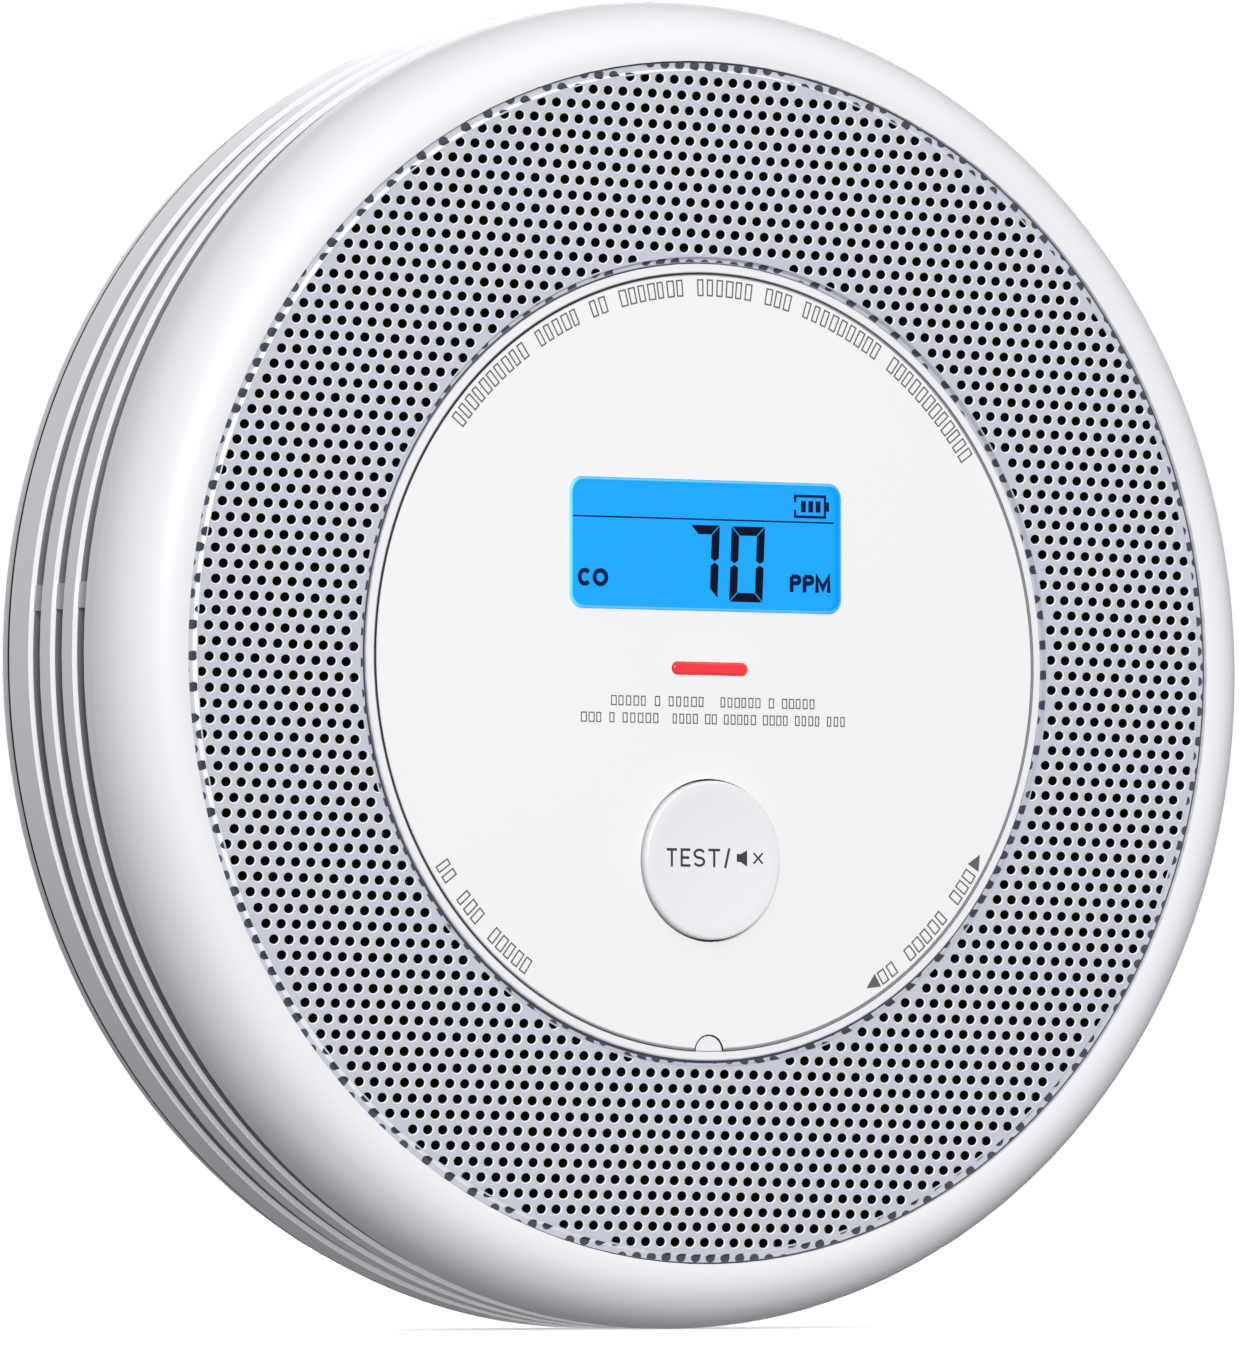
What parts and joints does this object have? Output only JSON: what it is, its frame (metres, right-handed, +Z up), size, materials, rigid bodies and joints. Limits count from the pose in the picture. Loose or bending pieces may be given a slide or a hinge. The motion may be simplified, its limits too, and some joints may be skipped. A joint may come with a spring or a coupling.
{
  "type": "carbon monoxide alarm",
  "caption": "Round wall-mounted gas alarm with perforated annular grille, centre display, indicator bar, press button, twist-lock mounting plate and rear battery door.",
  "frame": {"origin": "centre of the mounting plate's back face, on the wall plane", "axes": "+Z up, +Y into the wall, so the face looks along -Y; +X is to the right seen from the front"},
  "size_m": [0.125, 0.0254, 0.125],
  "materials": {
    "shell_white": "satin",
    "panel_white": "satin",
    "grille_grey": "satin",
    "mesh_black": "matte",
    "screen_black": "matte",
    "window_clear": "polished",
    "cell_glass": "polished",
    "backlight_blue": "satin",
    "holder_white": "matte",
    "pin_steel": "plated",
    "bar_red": "polished",
    "lamp_white": "satin",
    "button_white": "satin",
    "switch_black": "matte",
    "board_green": "solder mask",
    "chip_black": "matte",
    "capacitor_sleeve": "satin",
    "coil_ferrite": "matte",
    "sensor_can": "drawn",
    "sensor_seal": "matte",
    "filter_white": "matte",
    "horn_black": "matte",
    "horn_brass": "rolled",
    "ceramic_cream": "matte",
    "cover_white": "satin",
    "label_silver": "satin",
    "cell_sleeve": "satin",
    "contact_nickel": "plated",
    "plate_white": "satin",
    "screw_steel": "zinc plated"
  },
  "bodies": {
    "plate": {"mounting_plate": "plate_white"},
    "housing": {"front_cover": "shell_white", "grille": "grille_grey", "dust_mesh": "mesh_black", "vent_screens": "screen_black", "face_panel": "panel_white", "lcd_window": "window_clear", "lcd_glass": "cell_glass", "lcd_backlight": "backlight_blue", "lcd_holder": "holder_white", "lcd_pins": "pin_steel", "light_pipe": "bar_red", "status_leds": "lamp_white", "tact_switch": "switch_black", "circuit_board": "board_green", "microcontroller": "chip_black", "interface_chips": "chip_black", "storage_capacitor": "capacitor_sleeve", "power_coil": "coil_ferrite", "co_sensor": "sensor_can", "sensor_gasket": "sensor_seal", "sensor_cap": "sensor_can", "sensor_filter": "filter_white", "horn_holder": "horn_black", "horn_springs": "contact_nickel", "piezo_disc": "horn_brass", "piezo_ceramic": "ceramic_cream", "horn_cover": "horn_black", "rear_cover": "cover_white", "rating_label": "label_silver", "battery_cell": "cell_sleeve", "positive_contact": "contact_nickel", "negative_contact": "contact_nickel", "door_pin": "screw_steel", "housing_screws": "screw_steel", "board_screws": "screw_steel"},
    "button": {"test_button": "button_white"},
    "plunger": {"tact_plunger": "button_white"},
    "door": {"battery_door": "cover_white"}
  },
  "joints": [
    {"name": "twist_lock", "type": "hinge", "parent": "plate", "child": "housing", "pos_m": [0, 0, 0], "axis": [0, -1, 0], "range_deg": [0, 12]},
    {"name": "test_button_press", "type": "slide", "parent": "housing", "child": "button", "axis": [0, 1, 0], "range_m": [0, 0.0006], "stiffness_N_per_m": 600},
    {"name": "tact_plunger_slide", "type": "slide", "parent": "housing", "child": "plunger", "axis": [0, 1, 0], "range_m": [0, 0.0006]},
    {"name": "battery_door_hinge", "type": "hinge", "parent": "housing", "child": "door", "pos_m": [0.0185, -0.0032, 0], "axis": [0, 0, 1], "range_deg": [0, 95]}
  ],
  "couplings": [
    {"joint": "tact_plunger_slide", "follows": "test_button_press", "ratio": 1}
  ]
}
